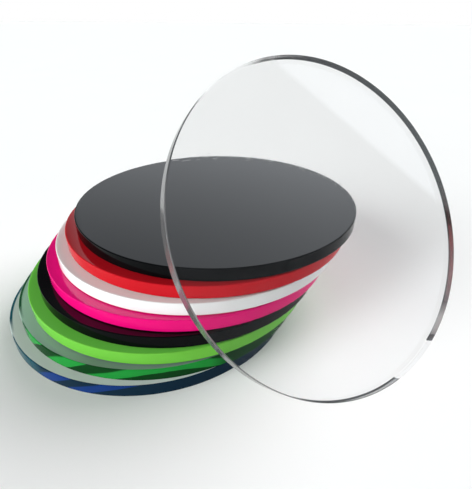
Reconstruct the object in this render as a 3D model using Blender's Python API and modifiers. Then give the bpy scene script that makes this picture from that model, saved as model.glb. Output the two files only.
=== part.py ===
"""Set of nine plain acrylic discs used as round drawing templates.

Eight discs lie flat in a fanned stack. Each one is shifted by the same small
step from the disc below it. A ninth, clear disc stands on its edge on the
floor and leans back on the rim of the top disc.

Metres, +Z up. The origin is the centre of the bottom disc's underside, and
the floor is the plane z = 0.
"""

import math

import bpy
from mathutils import Matrix, Vector

# ---------------------------------------------------------------- dimensions
DISC_DIAMETER = 0.100      # every disc is cut to the same diameter
DISC_THICKNESS = 0.0041    # nominal 4 mm cast sheet
EDGE_BREAK = 0.0002        # small chamfer that takes the sharpness off the cut edge
REST_GAP = 0.0003          # air between one disc and the next
SEGMENTS = 96              # sides of each disc's outline

FAN_STEP_X = 0.003376      # shift of each disc from the one below, to the right
FAN_STEP_Y = 0.001758      # and to the back

LEAN_ANGLE = math.radians(34.9)     # tilt of the leaning disc back from upright
LEAN_HEADING = math.radians(31.1)   # turn of the leaning disc about the vertical
LEAN_OFFSET = 0.0126                # its sideways shift from the top disc's centre

COLLECTION_NAME = "round_template_set"

# name, colour, roughness: from the bottom disc to the top one
STACK = (
    ("disc_clear_blue", (0.42, 0.55, 0.58), 0.05),
    ("disc_clear_green", (0.40, 0.56, 0.42), 0.05),
    ("disc_green", (0.11, 0.46, 0.06), 0.08),
    ("disc_black_lower", (0.006, 0.006, 0.007), 0.06),
    ("disc_pink", (0.72, 0.006, 0.13), 0.08),
    ("disc_white", (0.86, 0.84, 0.84), 0.08),
    ("disc_red", (0.58, 0.012, 0.022), 0.08),
    ("disc_black_top", (0.006, 0.006, 0.007), 0.06),
)
LEANING = ("disc_clear_leaning", (0.90, 0.91, 0.91), 0.03)

RADIUS = DISC_DIAMETER / 2
LAYER = DISC_THICKNESS + REST_GAP


def clear_scene():
    for item in list(bpy.data.objects):
        bpy.data.objects.remove(item, do_unlink=True)


def make_material(name, colour, roughness):
    material = bpy.data.materials.new(name)
    material.use_nodes = True
    shader = material.node_tree.nodes["Principled BSDF"]
    shader.inputs["Base Color"].default_value = (*colour, 1.0)
    shader.inputs["Roughness"].default_value = roughness
    shader.inputs["Metallic"].default_value = 0.0
    return material


def make_disc(name, colour, roughness, collection):
    """One flat disc around its own centre, with both rims slightly broken."""
    bpy.ops.mesh.primitive_cylinder_add(
        vertices=SEGMENTS,
        radius=RADIUS,
        depth=DISC_THICKNESS,
        end_fill_type="NGON",
        location=(0.0, 0.0, 0.0),
    )
    disc = bpy.context.active_object
    disc.name = name
    disc.data.name = name

    chamfer = disc.modifiers.new("edge_break", "BEVEL")
    chamfer.width = EDGE_BREAK
    chamfer.segments = 1
    chamfer.limit_method = "ANGLE"
    chamfer.angle_limit = math.radians(40)

    disc.data.shade_smooth()
    disc.data.set_sharp_from_angle(angle=math.radians(30))
    disc.data.materials.append(make_material(name, colour, roughness))

    for owner in list(disc.users_collection):
        owner.objects.unlink(disc)
    collection.objects.link(disc)
    return disc


def stack_centre(layer):
    """Centre of the disc in the given layer, 0 being the bottom one."""
    return Vector((
        layer * FAN_STEP_X,
        layer * FAN_STEP_Y,
        layer * LAYER + DISC_THICKNESS / 2,
    ))


def leaning_frame(top_centre):
    """Foot of the leaning disc, its sideways, upward and outward directions.

    The disc stands on the lower corner of its back rim at z = 0, and its back
    face clears the front of the top disc's upper rim by REST_GAP.
    """
    lean_sin, lean_cos = math.sin(LEAN_ANGLE), math.cos(LEAN_ANGLE)
    side = Vector((math.cos(LEAN_HEADING), math.sin(LEAN_HEADING), 0.0))
    front = Vector((math.sin(LEAN_HEADING), -math.cos(LEAN_HEADING), 0.0))
    outward = front * lean_cos + Vector((0.0, 0.0, lean_sin))
    upward = -front * lean_sin + Vector((0.0, 0.0, lean_cos))

    centre_z = RADIUS * lean_cos + (DISC_THICKNESS / 2 - EDGE_BREAK) * lean_sin
    back_z = centre_z - DISC_THICKNESS / 2 * lean_sin
    rim_z = top_centre.z + DISC_THICKNESS / 2
    reach = (
        (rim_z - back_z) * lean_sin
        + RADIUS * lean_cos
        - EDGE_BREAK * lean_sin
        + REST_GAP
    ) / lean_cos

    back_centre = Vector((top_centre.x, top_centre.y, 0.0))
    back_centre += front * reach + side * LEAN_OFFSET
    back_centre.z = back_z
    centre = back_centre + outward * (DISC_THICKNESS / 2)
    foot = centre - upward * RADIUS - outward * (DISC_THICKNESS / 2 - EDGE_BREAK)
    return foot, side, upward, outward


def main():
    clear_scene()
    collection = bpy.data.collections.new(COLLECTION_NAME)
    bpy.context.scene.collection.children.link(collection)

    for layer, (name, colour, roughness) in enumerate(STACK):
        disc = make_disc(name, colour, roughness, collection)
        disc.location = stack_centre(layer)

    foot, side, upward, outward = leaning_frame(stack_centre(len(STACK) - 1))
    pivot = bpy.data.objects.new("leaning_pivot", None)
    pivot.empty_display_size = 0.02
    collection.objects.link(pivot)
    rotation = Matrix((side, upward, outward)).transposed().to_4x4()
    pivot.matrix_world = Matrix.Translation(foot) @ rotation

    leaning = make_disc(*LEANING, collection)
    leaning.parent = pivot
    leaning.location = (0.0, RADIUS, DISC_THICKNESS / 2 - EDGE_BREAK)
    bpy.context.view_layer.update()


main()
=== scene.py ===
"""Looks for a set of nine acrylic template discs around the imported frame.

Every disc is made anew as a rounder mesh where the frame says that its solid is. The materials
follow each point's place in its own disc, so angles round a disc are degrees from its own +X,
which points to the right of the photo. On a flat disc -90 is the front, on the leaning one 90
is the top."""

import math

import bmesh
import bpy
from mathutils import Matrix, Vector


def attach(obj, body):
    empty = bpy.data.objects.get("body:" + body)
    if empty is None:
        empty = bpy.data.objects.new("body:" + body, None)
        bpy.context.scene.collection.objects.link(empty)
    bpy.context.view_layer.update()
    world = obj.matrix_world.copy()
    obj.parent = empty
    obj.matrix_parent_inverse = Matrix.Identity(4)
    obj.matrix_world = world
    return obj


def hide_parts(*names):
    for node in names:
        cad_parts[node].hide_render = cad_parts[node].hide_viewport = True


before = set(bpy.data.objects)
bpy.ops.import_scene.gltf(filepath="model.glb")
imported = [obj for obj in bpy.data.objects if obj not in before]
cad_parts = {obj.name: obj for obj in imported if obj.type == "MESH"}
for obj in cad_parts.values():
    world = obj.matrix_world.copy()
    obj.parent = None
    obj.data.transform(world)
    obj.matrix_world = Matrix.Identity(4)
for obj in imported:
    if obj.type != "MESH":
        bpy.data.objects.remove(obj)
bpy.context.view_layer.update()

# ----------------------------------------------------------------- disc shape
SEGMENTS = 288             # sides of a visual disc's outline
EDGE_ROUND = 0.0003        # radius of the softened cut edge
EDGE_STEPS = 3             # segments of that rounding
OUTLINE_INSET = 0.00003    # keeps the rounder outline inside the CAD model's box
HOLD = 0.00004             # ring beside the rounding that keeps the flat parts flat
FACE_RINGS = (0.3, 0.6, 0.85)    # rings of each face, as shares of the radius
LEVEL = 0.9999             # a disc lies flat when its upward normal is at least this tall
FACE_INDEX, RIM_INDEX = 0, 1     # a disc's two materials
PLACE = "place"            # mesh attribute: each point's place in its own disc

# ------------------------------------------------------- acrylic and its marks
ACRYLIC_IOR = 1.49
OPAQUE_GLOSS = (0.03, 0.09)      # roughness, least and most
CLEAR_GLOSS = (0.0, 0.006)
SATIN_GLOSS = (0.08, 0.16)
BAND_GLOSS = (0.04, 0.12)
FACE_SPECULAR = 0.5
RIM_SPECULAR = 0.1
BLACK_RIM_SPECULAR = 0.06
BAND_SPECULAR = 0.04

TONE_SCALE = 60.0          # patches of slightly different tone, in noise cells a metre
OPAQUE_TONES, CLEAR_TONES, FLOOR_TONES = 0.05, 0.01, 0.01      # spread of those tones
TONE_LIFT = 0.002          # added to the lighter tone, which makes it show on black as well
SMUDGE_SCALE = 45.0        # patches of slightly different gloss, in noise cells a metre
SMUDGE_PART, CLEAR_SMUDGE_PART = (0.35, 0.75), (0.5, 0.8)      # noise that spans the gloss
NOISE_MIDDLE = (0.3, 0.7)  # most of a noise's values lie between these
WAVE_SCALE = 35.0          # the slow waviness of cast sheet, in noise cells a metre
WAVE_HEIGHT = 0.0004
HAIRLINES = ((9000.0, 260.0, 1.0), (300.0, 8000.0, 1.0))    # noise cells a metre along X, Y, Z
HAIRLINE_PART = (0.74, 0.80)     # a scratch fades in where the noise is between these
HAIRLINE_DEPTH = 0.000002
HAIRLINE_STRENGTH = 0.5
CUT_LINES = 190.0          # cutter's lines in each radian round the rim
CUT_LINES_HEIGHT = 160.0   # noise cells a metre across the rim
CUT_DEPTH = 0.00003
OPAQUE_WAVES, CLEAR_WAVES = 0.06, 0.008                  # strength of the waviness
OPAQUE_CUT, SATIN_CUT, BAND_CUT = 0.25, 0.12, 0.2        # strength of the cutter's lines

# A stretch of a rim is (its middle, half its length, softness of its ends), in degrees.
# The leaning disc's rim, whose colours are painted reflections and painted shade:
POLISHED_FRONT = (-73.2, 10.2, 0.2)
POLISHED_TOP = (115.0, 13.0, 4.0)
POLISHED_ALPHA = 0.2       # how solid a polished stretch still looks
PAINTED_PALE_LEFT = (185.0, 50.0, 8.0)
PAINTED_DARKER_RIGHT = (38.5, 54.5, 2.0)
PAINTED_GREY_TOP = (98.0, 5.5, 1.0)
# where painted shade darkens the rim
PAINTED_SHADE_TOP_LEFT = (148.0, 11.0, 5.0)
PAINTED_GREY_LOW_RIGHT = (-54.5, 5.5, 3.0)
PAINTED_BLACK_END = (-61.6, 1.6, 0.2)    # the end of the satin cut, next to the polished front, painted black as a dark reflection
DULL_LOW_RIGHT = (-53.5, 10.0, 2.0)
SATIN_CLEAR = (0.30, 0.42)       # how much of the inside the satin cut shows, right and left
DULL_SHARE = 0.15          # share of that which its dull stretches keep

# Painted reflections on the leaning disc's rim, and painted shade at its top left:
PAINTED_DARK_REFLECTION = (0.030, 0.034, 0.035)
PAINTED_PALE_REFLECTION = (0.19, 0.185, 0.19)
PAINTED_DARKER_REFLECTION = (0.020, 0.024, 0.023)
PAINTED_GREY_REFLECTION = (0.30, 0.30, 0.30)
PAINTED_SHADE = (0.075, 0.078, 0.082)
PAINTED_BLACK_REFLECTION = (0.0, 0.0, 0.0)

# The tinted clear discs' rims, painted with reflections, and faces, with painted shade and a painted
# reflection line:
RIM_HALF = 0.00205         # half a disc's thickness
ARCH_MIDDLE = -79.0        # middle of the arched bands
ARCH_RISE = 0.070          # how much the bands lean with height
ARCH_FLOOR = -0.4          # steps are held up here before the first pair: the middle is dark
BAND_CHANGE = (0.46, 0.54)       # where in a pair the bright band turns into the dark one
WOBBLE_SCALE = 90.0        # noise cells a metre
WOBBLE = 0.05              # unevenness of the bands, in pairs
DARK_HALF = 45.0           # half the length of the plain dark stretch at the right, a painted reflection
DARK_SOFT = 4.0            # softness of its ends
LINE_FROM = 172.0          # where the stretch of one colour at the left begins
LINE_SOFT = 3.0            # softness of its ends
LINE_ON_RIM = 0.45         # brightness of the line's colour on the rim
PALE_STRETCH = (213.0, 4.0, 1.5)
LINE_STRETCH = (196.0, 15.0, 5.0)
LINE_RADII = (0.0489, 0.0492)    # the painted reflection line on the face fades in between these
PAINTED_SHADE_PLACES = (-0.049, -0.012)   # painted shade: the face's tint darkens between these X places

# -------------------------------------------------------------------- colours
RED = (0.56, 0.007, 0.015)
WHITE = (0.88, 0.88, 0.88)
PINK = (0.84, 0.003, 0.19)
BLACK = (0.0010, 0.0014, 0.0018)
LIME = (0.185, 0.70, 0.080)
# the lime darker on the rim: painted shade
LIME_RIM_PAINTED_SHADE = (0.168, 0.57, 0.058)
CLEAR = (1.0, 1.0, 1.0)
LEANING_TINT = (0.92, 0.92, 0.92)
# painted reflections of the far cut edge, on the tinted faces and rims
PAINTED_GREEN_EDGE_LINE = (0.030, 0.190, 0.090)
PAINTED_BLUE_EDGE_LINE = (0.010, 0.140, 0.200)
FLOOR_SHADE = (0.92, 0.92, 0.92)

OPAQUE = {    # node, colour of the faces and of the rim, rim's specular level, slot
    "black_top": ("disc_black_top", BLACK, BLACK, BLACK_RIM_SPECULAR, "acrylic_black"),
    "red": ("disc_red", RED, RED, RIM_SPECULAR, "acrylic_red"),
    "white": ("disc_white", WHITE, WHITE, RIM_SPECULAR, "acrylic_white"),
    "pink": ("disc_pink", PINK, PINK, RIM_SPECULAR, "acrylic_pink"),
    "black_lower": ("disc_black_lower", BLACK, BLACK, BLACK_RIM_SPECULAR, "acrylic_black"),
    "green": ("disc_green", LIME, LIME_RIM_PAINTED_SHADE, RIM_SPECULAR, "acrylic_green"),
}

TINTED = {    # what clear_face and banded_rim_painted_reflections take
    "clear_green": {
        "node": "disc_clear_green",
        "slot": "acrylic_clear_green_tint",
        "face": {
            "tint": (0.80, 1.0, 0.96), "through": 0.50,
            "absorb": (0.45, 0.86, 0.68), "density": 35.0,
            "line": PAINTED_GREEN_EDGE_LINE, "painted_shade_factor": 0.46,
        },
        # colours of the painted reflections in the rim
        "rim": {
            "bright": (0.017, 0.30, 0.045), "dark": (0.004, 0.05, 0.010),
            "pale": (0.32, 0.46, 0.38), "line": PAINTED_GREEN_EDGE_LINE, "line_to": 222.0,
            "dark_from": -61.0, "start": 0.225, "period": 0.222,
        },
    },
    "clear_blue": {
        "node": "disc_clear_blue",
        "slot": "acrylic_clear_blue_tint",
        "face": {
            "tint": (0.95, 1.0, 0.98), "through": 0.35,
            "absorb": (0.50, 0.95, 0.85), "density": 20.0,
            "line": PAINTED_BLUE_EDGE_LINE, "painted_shade_factor": 1.0,
        },
        # colours of the painted reflections in the rim
        "rim": {
            "bright": (0.010, 0.042, 0.20), "dark": (0.006, 0.024, 0.048),
            "pale": (0.50, 0.58, 0.57), "line": PAINTED_BLUE_EDGE_LINE, "line_to": 238.0,
            "dark_from": -83.0, "start": 0.285, "period": 0.18,
        },
    },
}

# ------------------------------------------------------------ camera and room
CAMERA_PLACE = (0.031503, -0.126319, 0.092487)
CAMERA_DOWN = math.radians(29.364)
CAMERA_ROLL = math.radians(0.529)
CAMERA_LENS = 29.234
SENSOR_WIDTH = 36.0
CLIP = (0.005, 20.0)

FLOOR_SIZE = 80.0
FLOOR_DROP = 0.0002        # the floor lies this far under the lowest disc
FLOOR_PATCHES = 12.0       # noise cells a metre
FLOOR_ROUGHNESS = 0.6

WALL = (0.62, 1.05)        # brightness of the wall behind, from the left to the right
WALL_RAMP = (-22, 14)      # where that ramp begins and ends, degrees from straight back
WALL_EDGE = (-26.5, -23.5)       # the wall's left edge, degrees from straight back
WALL_END = 0.03            # brightness beyond that edge
WINDOW = 1.2               # brightness of the window to the right of the wall
WINDOW_EDGE = (40, 75)     # where the wall turns into it, degrees from straight back
WALL_TOP = (0.56, 0.80)    # height of the wall's top, left and right, as a direction's Z
WALL_TOP_RAMP = (-0.2, 0.4)      # where that height goes up, as a direction's X
WALL_TOP_SOFT = 0.04
CEILING = 0.10
ROOM_LEFT = 0.55           # the room in front, to the left
ROOM_RIGHT = 0.15          # and to the right,
ROOM_RIGHT_LOW = 1.20      # which is brighter near the floor
ROOM_LOW_TOP = (0.20, 0.28)      # where that brightness ends, as a direction's Z
ROOM_RAMP = (-0.1, 0.3)    # where the left of the room turns into the right, as a direction's X
ROOM_SOFT = 0.006          # softness of the line between what is behind and what is in front
ROOM_TINT = (0.98, 1.03, 1.09)
AMBIENT = 0.10             # even light from all round, for shading only

SUNS = {    # azimuth, elevation, strength, spread, colour
    "from_front_left": (-122, 17, 4.1, 50, (0.96, 1.0, 0.985)),
    "from_back_right": (43, 25, 4.25, 58, (1.0, 1.0, 1.0)),
}


# ---------------------------------------------------------------------- nodes
def new_material(name):
    material = bpy.data.materials.new(name)
    material.use_nodes = True
    tree = material.node_tree
    tree.nodes.clear()
    return material, tree


def add(tree, kind, settings=None, links=None):
    """A node with its settings and its input values or links, by socket name or index."""
    node = tree.nodes.new(kind)
    for key, value in (settings or {}).items():
        setattr(node, key, value)
    for key, value in (links or {}).items():
        if isinstance(value, bpy.types.NodeSocket):
            tree.links.new(value, node.inputs[key])
        else:
            node.inputs[key].default_value = value
    return node


def rgba(colour):
    return (*colour, 1.0)


def math_node(tree, operation, *values):
    node = add(tree, "ShaderNodeMath", {"operation": operation}, dict(enumerate(values)))
    return node.outputs[0]


def noise(tree, vector, scale, detail=2.0, roughness=0.5):
    node = add(tree, "ShaderNodeTexNoise", links={
        "Vector": vector, "Scale": scale, "Detail": detail, "Roughness": roughness,
    })
    return node.outputs["Fac"]


def mapped(tree, value, low, high, to_low, to_high):
    node = add(tree, "ShaderNodeMapRange", links={
        "Value": value, "From Min": low, "From Max": high, "To Min": to_low, "To Max": to_high,
    })
    return node.outputs["Result"]


def scaled(tree, vector, scale):
    node = add(tree, "ShaderNodeVectorMath", {"operation": "MULTIPLY"}, {0: vector, 1: scale})
    return node.outputs["Vector"]


def colour_mix(tree, fac, low, high):
    node = add(tree, "ShaderNodeMix", {"data_type": "RGBA"}, {0: fac, 6: low, 7: high})
    return node.outputs[2]


def shade_variation(tree, colour, fac, spread):
    """The colour, a little darker and lighter from place to place."""
    dark = rgba(c * (1 - spread) for c in colour)
    light = rgba(min(1.0, c * (1 + spread) + TONE_LIFT) for c in colour)
    return colour_mix(tree, fac, dark, light)


def disc_place(tree):
    return add(tree, "ShaderNodeAttribute", {"attribute_name": PLACE}).outputs["Vector"]


def disc_turn(tree, place):
    """(node with the place's X, Y and Z, the place's angle round the disc in radians)"""
    split = add(tree, "ShaderNodeSeparateXYZ", links={0: place})
    return split, math_node(tree, "ARCTAN2", split.outputs["Y"], split.outputs["X"])


def facing_cosine(tree, turn, centre):
    return math_node(tree, "COSINE", math_node(tree, "SUBTRACT", turn, math.radians(centre)))


def zone(tree, turn, centre, half, soft):
    """1 within half of the centre round the disc and 0 beyond, all in degrees."""
    away = math_node(tree, "ARCCOSINE", facing_cosine(tree, turn, centre))
    return mapped(tree, away, math.radians(half - soft), math.radians(half + soft), 1.0, 0.0)


# ------------------------------------------------------------------ materials
def smudges(tree, place):
    return noise(tree, place, SMUDGE_SCALE, detail=5.0, roughness=0.6)


def face_relief(tree, place, strength):
    """Slow waviness of cast sheet and the finest hairline scratches."""
    hairs = [noise(tree, scaled(tree, place, cells), 1.0, detail=0.0) for cells in HAIRLINES]
    along, across = (mapped(tree, hair, *HAIRLINE_PART, 0.0, 1.0) for hair in hairs)
    waves = add(tree, "ShaderNodeBump", links={
        "Height": noise(tree, place, WAVE_SCALE, detail=1.0), "Distance": WAVE_HEIGHT,
        "Strength": strength,
    })
    fine = add(tree, "ShaderNodeBump", {"invert": True}, {
        "Height": math_node(tree, "ADD", along, across), "Distance": HAIRLINE_DEPTH,
        "Strength": HAIRLINE_STRENGTH, "Normal": waves.outputs["Normal"],
    })
    return fine.outputs["Normal"]


def rim_relief(tree, place, strength, gloss):
    """(normal, roughness) of the fine upright lines that the cutter left round the rim."""
    split, turn = disc_turn(tree, place)
    around = add(tree, "ShaderNodeCombineXYZ", links={
        "X": math_node(tree, "MULTIPLY", turn, CUT_LINES),
        "Y": math_node(tree, "MULTIPLY", split.outputs["Z"], CUT_LINES_HEIGHT),
    })
    lines = noise(tree, around.outputs[0], 1.0, detail=3.0, roughness=0.6)
    bump = add(tree, "ShaderNodeBump", links={
        "Height": lines, "Distance": CUT_DEPTH, "Strength": strength,
    })
    return bump.outputs["Normal"], mapped(tree, lines, *NOISE_MIDDLE, *gloss)


def opaque_face(tree, place):
    """(normal, roughness) of an opaque disc's face."""
    rough = mapped(tree, smudges(tree, place), *SMUDGE_PART, *OPAQUE_GLOSS)
    return face_relief(tree, place, OPAQUE_WAVES), rough


def opaque_rim(tree, place):
    """(normal, roughness) of an opaque disc's rim."""
    return rim_relief(tree, place, OPAQUE_CUT, OPAQUE_GLOSS)


def opaque_acrylic(name, colour, surface, specular):
    """Acrylic that nothing shows through. The surface is opaque_face or opaque_rim."""
    material, tree = new_material(name)
    place = disc_place(tree)
    normal, rough = surface(tree, place)
    tones = noise(tree, place, TONE_SCALE, detail=4.0)
    shader = add(tree, "ShaderNodeBsdfPrincipled", links={
        "Base Color": shade_variation(tree, colour, tones, OPAQUE_TONES),
        "Roughness": rough, "IOR": ACRYLIC_IOR,
        "Specular IOR Level": specular, "Normal": normal,
    })
    add(tree, "ShaderNodeOutputMaterial", links={"Surface": shader.outputs[0]})
    return material


def lamp_lets_through(tree, shader):
    """The shader as the eye sees it, while light for shading passes straight through."""
    open_air = add(tree, "ShaderNodeBsdfTransparent")
    ray = add(tree, "ShaderNodeLightPath")
    lamp_ray = math_node(tree, "MAXIMUM", ray.outputs["Is Shadow Ray"], ray.outputs["Is Diffuse Ray"])
    mix = add(tree, "ShaderNodeMixShader", links={
        0: lamp_ray, 1: shader.outputs[0], 2: open_air.outputs[0],
    })
    return mix.outputs[0]


def face_tones(tree, place, colour, tint, painted_shade_factor, line):
    """The colour, darkening with painted shade from the left on, and the painted reflection line at the
    left.
    """
    split, turn = disc_turn(tree, place)
    painted_shade_mask = mapped(tree, split.outputs["X"], *PAINTED_SHADE_PLACES, 0.0, 1.0)
    colour = colour_mix(tree, painted_shade_mask, colour, rgba(c * painted_shade_factor for c in tint))
    flat = add(tree, "ShaderNodeVectorMath", {"operation": "LENGTH"}, {
        0: scaled(tree, place, (1.0, 1.0, 0.0)),
    })
    outside = mapped(tree, flat.outputs["Value"], *LINE_RADII, 0.0, 1.0)
    ring = math_node(tree, "MULTIPLY", outside, zone(tree, turn, *LINE_STRETCH))
    return colour_mix(tree, ring, colour, rgba(line))


def clear_face(name, tint, through=1.0, absorb=None, density=0.0, line=None, painted_shade_factor=1.0):
    """Face of a clear disc. Through is the share of light that passes, the rest is milky.

    The line is a painted reflection: the colour that the far cut edge shows through it. The tint
    darkens with painted shade from the left on."""
    material, tree = new_material(name)
    place = disc_place(tree)
    colour = shade_variation(tree, tint, noise(tree, place, TONE_SCALE), CLEAR_TONES)
    if line:
        colour = face_tones(tree, place, colour, tint, painted_shade_factor, line)
    rough = mapped(tree, smudges(tree, place), *CLEAR_SMUDGE_PART, *CLEAR_GLOSS)
    glass = add(tree, "ShaderNodeBsdfPrincipled", links={
        "Base Color": colour, "Roughness": rough, "IOR": ACRYLIC_IOR,
        "Transmission Weight": through, "Normal": face_relief(tree, place, CLEAR_WAVES),
    })
    output = add(tree, "ShaderNodeOutputMaterial", links={"Surface": lamp_lets_through(tree, glass)})
    if absorb:
        volume = add(tree, "ShaderNodeVolumeAbsorption", links={
            "Color": rgba(absorb), "Density": density,
        })
        tree.links.new(volume.outputs[0], output.inputs["Volume"])
    return material


def satin_rim_painted_reflections(name):
    """Rim of the leaning disc: a satin cut painted grey, dark and pale as reflections, with painted
    shade at the top left, and two stretches that are polished clear.
    """
    material, tree = new_material(name)
    place = disc_place(tree)
    turn = disc_turn(tree, place)[1]

    def either(*reaches):
        most = reaches[0]
        for reach in reaches[1:]:
            most = math_node(tree, "MAXIMUM", most, reach)
        return most

    left = zone(tree, turn, *PAINTED_PALE_LEFT)
    right = zone(tree, turn, *PAINTED_DARKER_RIGHT)
    top = zone(tree, turn, *PAINTED_GREY_TOP)
    top_left = zone(tree, turn, *PAINTED_SHADE_TOP_LEFT)
    polished = either(zone(tree, turn, *POLISHED_FRONT), zone(tree, turn, *POLISHED_TOP))
    # The base colour is painted reflections, stretch by stretch, with painted shade at the top left.
    colour = colour_mix(tree, left, rgba(PAINTED_DARK_REFLECTION), rgba(PAINTED_PALE_REFLECTION))
    for reach, shade in (
        (right, PAINTED_DARKER_REFLECTION),
        (either(zone(tree, turn, *PAINTED_GREY_LOW_RIGHT), top), PAINTED_GREY_REFLECTION),
        (top_left, PAINTED_SHADE),
        (zone(tree, turn, *PAINTED_BLACK_END), PAINTED_BLACK_REFLECTION),
        (polished, CLEAR),
    ):
        colour = colour_mix(tree, reach, colour, rgba(shade))
    dull = either(right, zone(tree, turn, *DULL_LOW_RIGHT), top, top_left)
    inside = math_node(tree, "MULTIPLY", mapped(tree, left, 0.0, 1.0, *SATIN_CLEAR),
                       mapped(tree, dull, 0.0, 1.0, 1.0, DULL_SHARE))
    normal, rough = rim_relief(tree, place, SATIN_CUT, SATIN_GLOSS)
    glass = add(tree, "ShaderNodeBsdfPrincipled", links={
        "Base Color": colour, "Roughness": rough, "IOR": ACRYLIC_IOR,
        "Transmission Weight": either(inside, polished),
        "Alpha": mapped(tree, polished, 0.0, 1.0, 1.0, POLISHED_ALPHA), "Normal": normal,
    })
    add(tree, "ShaderNodeOutputMaterial", links={"Surface": lamp_lets_through(tree, glass)})
    return material


def painted_reflection_bands(tree, place, start, period):
    """0 in the bright bands and 1 in the dark ones, which are painted reflections. Start is the first
    pair, period its width.
    """
    split, turn = disc_turn(tree, place)
    height = mapped(tree, split.outputs["Z"], -RIM_HALF, RIM_HALF, 0.0, 1.0)
    facing = facing_cosine(tree, turn, ARCH_MIDDLE)
    away = math_node(tree, "ARCCOSINE", facing)
    lean = math_node(tree, "ADD", ARCH_RISE, math_node(tree, "MULTIPLY", away, ARCH_RISE))
    rise = math_node(tree, "MULTIPLY", height, lean)
    arch = math_node(tree, "ADD", math_node(tree, "SUBTRACT", 1.0, facing), rise)
    arch = math_node(tree, "POWER", arch, 0.5)
    step = math_node(tree, "DIVIDE", math_node(tree, "SUBTRACT", arch, start), period)
    wobble = noise(tree, place, WOBBLE_SCALE, detail=1.0)
    wobble = mapped(tree, wobble, *NOISE_MIDDLE, -WOBBLE, WOBBLE)
    step = math_node(tree, "ADD", math_node(tree, "MAXIMUM", step, ARCH_FLOOR), wobble)
    return mapped(tree, math_node(tree, "FRACT", step), *BAND_CHANGE, 0.0, 1.0)


def banded_rim_painted_reflections(name, bright, dark, pale, line, line_to, dark_from, start, period):
    """Rim of a tinted clear disc, whose colours are painted reflections of the light that the cut edge
    gathers inside.

    Arched pairs of a bright and a dark band follow each other away from the middle of the
    front. From dark_from on, the right is plain dark. The left has a stretch of the line's
    colour that ends at line_to, with a pale spot in it."""
    material, tree = new_material(name)
    place = disc_place(tree)
    turn = disc_turn(tree, place)[1]
    right = zone(tree, turn, dark_from + DARK_HALF, DARK_HALF, DARK_SOFT)
    left = zone(tree, turn, (LINE_FROM + line_to) / 2, (line_to - LINE_FROM) / 2, LINE_SOFT)
    colour = colour_mix(tree, painted_reflection_bands(tree, place, start, period), rgba(bright), rgba(dark))
    colour = colour_mix(tree, right, colour, rgba(dark))
    colour = colour_mix(tree, left, colour, rgba(c * LINE_ON_RIM for c in line))
    colour = colour_mix(tree, zone(tree, turn, *PALE_STRETCH), colour, rgba(pale))
    normal, rough = rim_relief(tree, place, BAND_CUT, BAND_GLOSS)
    shader = add(tree, "ShaderNodeBsdfPrincipled", links={
        "Base Color": colour, "Roughness": rough, "IOR": ACRYLIC_IOR,
        "Specular IOR Level": BAND_SPECULAR, "Normal": normal,
    })
    add(tree, "ShaderNodeOutputMaterial", links={"Surface": lamp_lets_through(tree, shader)})
    return material


# --------------------------------------------------------------------- pieces
def disc_frame(node):
    """(matrix, radius, thickness) of a disc, read from its solid: +Z is its upper face's normal."""
    points = [node.matrix_world @ v.co for v in node.data.vertices]
    widest = max(node.data.polygons, key=lambda p: p.area)
    normal = (node.matrix_world.to_3x3() @ widest.normal).normalized()
    if normal.z < 0:
        normal.negate()
    if normal.z > LEVEL:
        normal, side = Vector((0, 0, 1)), Vector((1, 0, 0))
    else:
        side = Vector((0, 0, 1)).cross(normal).normalized()
    axes = (side, normal.cross(side), normal)
    sizes = []
    centre = Vector()
    for axis in axes:
        reach = [p.dot(axis) for p in points]
        sizes.append(max(reach) - min(reach))
        centre += (min(reach) + max(reach)) / 2 * axis
    matrix = Matrix.Translation(centre) @ Matrix(axes).transposed().to_4x4()
    return matrix, sizes[0] / 2 - OUTLINE_INSET, sizes[2]


def disc_profile(radius, thickness):
    """(radius, height) of each ring from the upper face's middle, round the rim, to the lower one."""
    half = thickness / 2
    inner = radius - EDGE_ROUND
    upper = [(radius * share, half) for share in FACE_RINGS]
    upper.append((inner - HOLD, half))
    for step in range(EDGE_STEPS + 1):
        turn = math.radians(90) * step / EDGE_STEPS
        upper.append((inner + EDGE_ROUND * math.sin(turn), half - EDGE_ROUND * (1 - math.cos(turn))))
    upper.append((radius, half - EDGE_ROUND - HOLD))
    return upper + [(r, -h) for r, h in reversed(upper)]


def disc_ring(bm, radius, height):
    angles = (math.tau * i / SEGMENTS for i in range(SEGMENTS))
    return [bm.verts.new((radius * math.cos(a), radius * math.sin(a), height)) for a in angles]


def disc_mesh(name, radius, thickness):
    """The disc's mesh round its own middle, with the faces and the rim told apart."""
    profile = disc_profile(radius, thickness)
    bm = bmesh.new()
    rings = [disc_ring(bm, *entry) for entry in profile]
    top = bm.verts.new((0, 0, thickness / 2))
    bottom = bm.verts.new((0, 0, -thickness / 2))
    first_rim = len(FACE_RINGS) + 1
    last_rim = len(profile) - first_rim - 1
    for k, (upper, lower) in enumerate(zip(rings, rings[1:])):
        for i in range(SEGMENTS):
            j = (i + 1) % SEGMENTS
            face = bm.faces.new((upper[i], lower[i], lower[j], upper[j]))
            face.material_index = RIM_INDEX if first_rim <= k < last_rim else FACE_INDEX
    for i in range(SEGMENTS):
        j = (i + 1) % SEGMENTS
        bm.faces.new((top, rings[0][i], rings[0][j]))
        bm.faces.new((bottom, rings[-1][j], rings[-1][i]))
    for face in bm.faces:
        face.smooth = True
    mesh = bpy.data.meshes.new(name)
    bm.to_mesh(mesh)
    bm.free()
    return mesh


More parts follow.
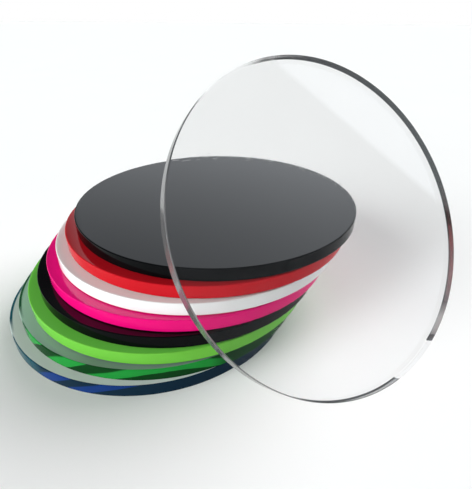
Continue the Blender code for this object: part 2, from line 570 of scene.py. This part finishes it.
def make_disc(name, node_name, face_material, rim_material):
    matrix, radius, thickness = disc_frame(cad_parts[node_name])
    mesh = disc_mesh(name, radius, thickness)
    place = mesh.attributes.new(PLACE, "FLOAT_VECTOR", "POINT")
    for vertex, entry in zip(mesh.vertices, place.data):
        entry.vector = vertex.co
    mesh.transform(matrix)
    mesh.materials.append(face_material)
    mesh.materials.append(rim_material)
    disc = bpy.data.objects.new(name, mesh)
    bpy.context.collection.objects.link(disc)
    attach(disc, node_name)
    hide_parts(node_name)


def make_discs():
    for key, (node_name, colour, rim_colour, specular, slot_name) in OPAQUE.items():
        face = opaque_acrylic(f"{key}_face", colour, opaque_face, FACE_SPECULAR)
        rim = opaque_acrylic(f"{key}_rim", rim_colour, opaque_rim, specular)
        make_disc(f"acrylic_{key}", node_name, face, rim)
    for key, disc in TINTED.items():
        face = clear_face(f"{key}_face", **disc["face"])
        rim = banded_rim_painted_reflections(f"{key}_rim", **disc["rim"])
        make_disc(f"acrylic_{key}", disc["node"], face, rim)
    face = clear_face("clear_leaning_face", LEANING_TINT)
    rim = satin_rim_painted_reflections("clear_leaning_rim")
    make_disc("acrylic_clear_leaning", "disc_clear_leaning", face, rim)


# ---------------------------------------------------------------------- stage
def make_floor():
    material, tree = new_material("studio_floor")
    place = add(tree, "ShaderNodeTexCoord").outputs["Object"]
    patches = noise(tree, place, FLOOR_PATCHES, detail=3.0)
    shader = add(tree, "ShaderNodeBsdfPrincipled", links={
        "Base Color": shade_variation(tree, FLOOR_SHADE, patches, FLOOR_TONES),
        "Roughness": FLOOR_ROUGHNESS, "Specular IOR Level": 0.0,
    })
    add(tree, "ShaderNodeOutputMaterial", links={"Surface": shader.outputs[0]})
    bpy.ops.mesh.primitive_plane_add(size=FLOOR_SIZE, location=(0.0, 0.0, -FLOOR_DROP))
    floor = bpy.context.active_object
    floor.name = "studio_floor"
    floor.data.materials.append(material)


def soft_sun(name, azimuth, elevation, strength, spread, colour):
    """A wide soft light, far away. Azimuth 0 is behind the object and 90 to its right."""
    light = bpy.data.lights.new(name, "SUN")
    light.energy = strength
    light.angle = math.radians(spread)
    light.color = colour
    turn, rise = math.radians(azimuth), math.radians(elevation)
    towards = Vector((math.sin(turn) * math.cos(rise), math.cos(turn) * math.cos(rise), math.sin(rise)))
    item = bpy.data.objects.new(name, light)
    item.rotation_euler = towards.to_track_quat("Z", "Y").to_euler()
    item.visible_glossy = False
    item.visible_transmission = False
    bpy.context.collection.objects.link(item)


def make_world():
    """What the discs mirror: a back wall that brightens to the right, and a dim room in front.

    The camera sees plain white instead, and shading takes a faint even light from all round."""
    world = bpy.data.worlds.new("studio")
    bpy.context.scene.world = world
    world.use_nodes = True
    tree = world.node_tree
    tree.nodes.clear()
    towards = add(tree, "ShaderNodeTexCoord").outputs["Generated"]
    split = add(tree, "ShaderNodeSeparateXYZ", links={0: towards})
    right, back, up = split.outputs["X"], split.outputs["Y"], split.outputs["Z"]

    def blend(fac, low, high):
        node = add(tree, "ShaderNodeMix", {"data_type": "FLOAT"}, {0: fac, 2: low, 3: high})
        return node.outputs[0]

    def past(value, begin, end):
        return mapped(tree, value, begin, end, 0.0, 1.0)

    across = math_node(tree, "ARCTAN2", right, back)
    wall = mapped(tree, across, *map(math.radians, WALL_RAMP), *WALL)
    wall = blend(past(across, *map(math.radians, WALL_EDGE)), WALL_END, wall)
    wall = blend(past(across, *map(math.radians, WINDOW_EDGE)), wall, WINDOW)
    above = math_node(tree, "SUBTRACT", up, mapped(tree, right, *WALL_TOP_RAMP, *WALL_TOP))
    behind = blend(past(above, -WALL_TOP_SOFT, WALL_TOP_SOFT), wall, CEILING)
    room_right = blend(past(up, *ROOM_LOW_TOP), ROOM_RIGHT_LOW, ROOM_RIGHT)
    room = blend(past(right, *ROOM_RAMP), ROOM_LEFT, room_right)
    mirrored = blend(past(back, -ROOM_SOFT, ROOM_SOFT), room, behind)
    ray = add(tree, "ShaderNodeLightPath")
    level = blend(ray.outputs["Is Diffuse Ray"], mirrored, AMBIENT)
    level = blend(ray.outputs["Is Camera Ray"], level, 1.0)
    colour = colour_mix(tree, ray.outputs["Is Camera Ray"], rgba(ROOM_TINT), rgba(CLEAR))
    sky = add(tree, "ShaderNodeBackground", links={"Color": colour, "Strength": level})
    add(tree, "ShaderNodeOutputWorld", links={"Surface": sky.outputs[0]})


def make_camera():
    data = bpy.data.cameras.new("camera")
    data.lens = CAMERA_LENS
    data.sensor_width = SENSOR_WIDTH
    data.clip_start, data.clip_end = CLIP
    camera = bpy.data.objects.new("camera", data)
    camera.matrix_world = (
        Matrix.Translation(CAMERA_PLACE)
        @ Matrix.Rotation(math.pi / 2 - CAMERA_DOWN, 4, "X")
        @ Matrix.Rotation(CAMERA_ROLL, 4, "Z")
    )
    bpy.context.collection.objects.link(camera)
    bpy.context.scene.camera = camera


make_discs()
make_floor()
make_world()
for sun_name, sun in SUNS.items():
    soft_sun(sun_name, *sun)
make_camera()
bpy.context.scene.view_settings.view_transform = "Standard"
